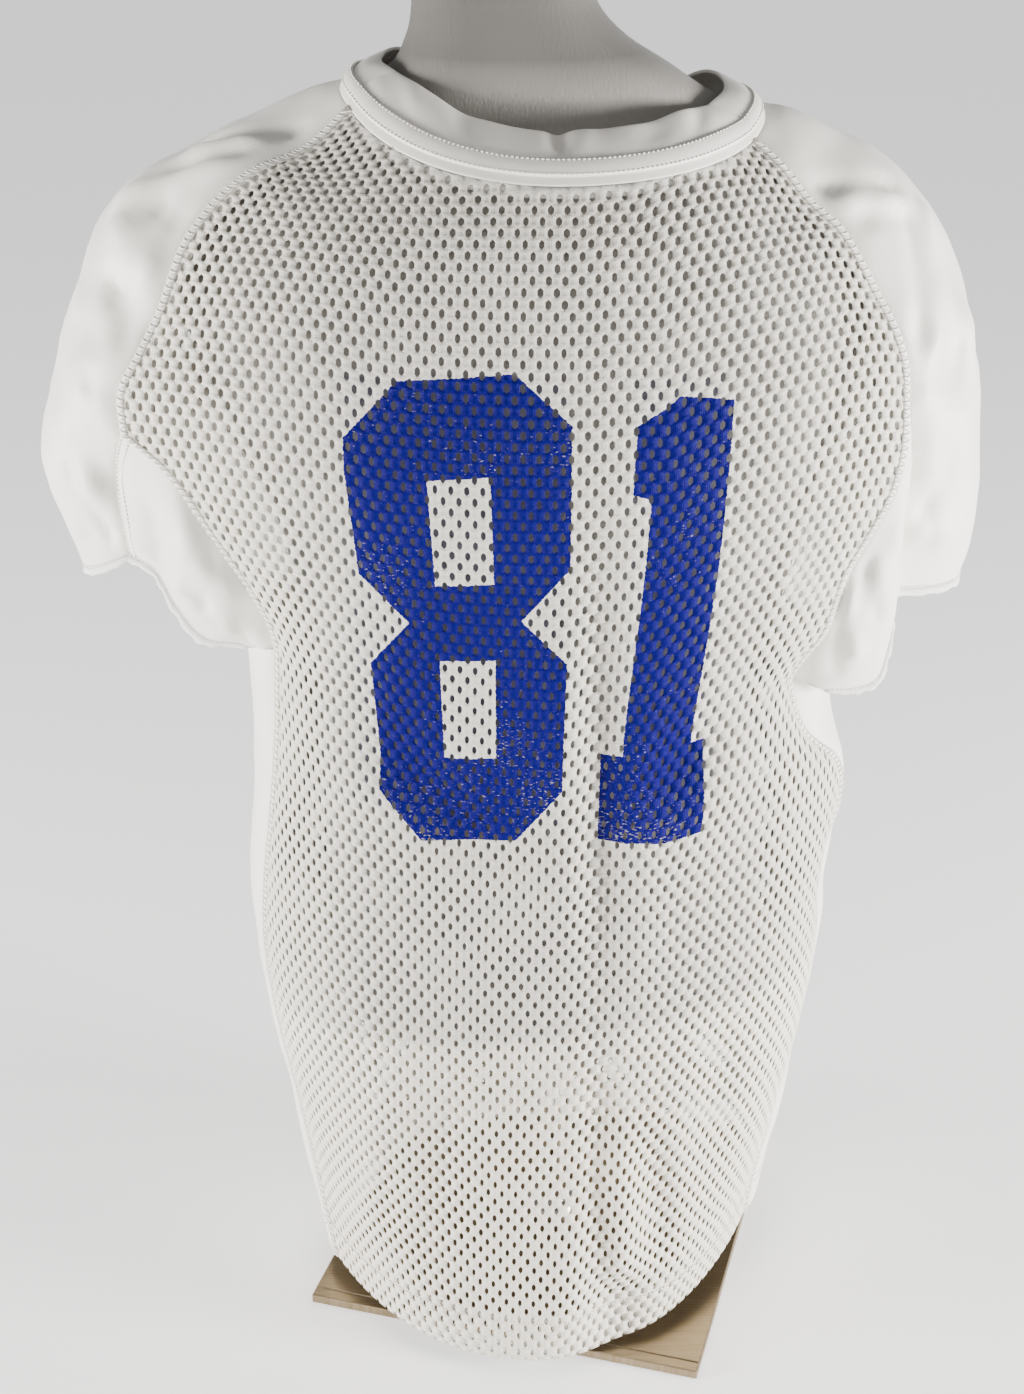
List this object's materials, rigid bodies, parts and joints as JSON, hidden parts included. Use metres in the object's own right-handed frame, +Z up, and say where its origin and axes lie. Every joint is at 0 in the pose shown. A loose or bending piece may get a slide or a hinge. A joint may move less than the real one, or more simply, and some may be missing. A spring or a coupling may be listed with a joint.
{
  "type": "football jersey on dress form",
  "caption": "Short-sleeved mesh football jersey with plain knit shoulders, worn by a limbless dress form on a pole and a square steel base.",
  "frame": {"origin": "centre of the base plate's underside, on the floor", "axes": "+Z up the pole, -Y the way the chest faces, +X to the right as the front is seen"},
  "size_m": [0.532, 0.314, 0.818],
  "materials": {
    "mesh_knit": "matt, open net of small oval holes",
    "plain_knit": "soft sheen",
    "elastic_band": "matt",
    "form_cover": "matt",
    "chromed_steel": "polished chrome",
    "brushed_steel": "brushed nickel"
  },
  "bodies": {
    "root": {"front_panel": "mesh_knit", "back_panel": "mesh_knit", "side_panel_left": "plain_knit", "side_panel_right": "plain_knit", "sleeve_left": "plain_knit", "sleeve_right": "plain_knit", "gusset_left": "plain_knit", "gusset_right": "plain_knit", "cuff_left": "elastic_band", "cuff_right": "elastic_band", "collar": "plain_knit", "neck_tape": "plain_knit", "dress_form": "form_cover", "pole": "chromed_steel", "base_plate": "brushed_steel"}
  },
  "joints": []
}
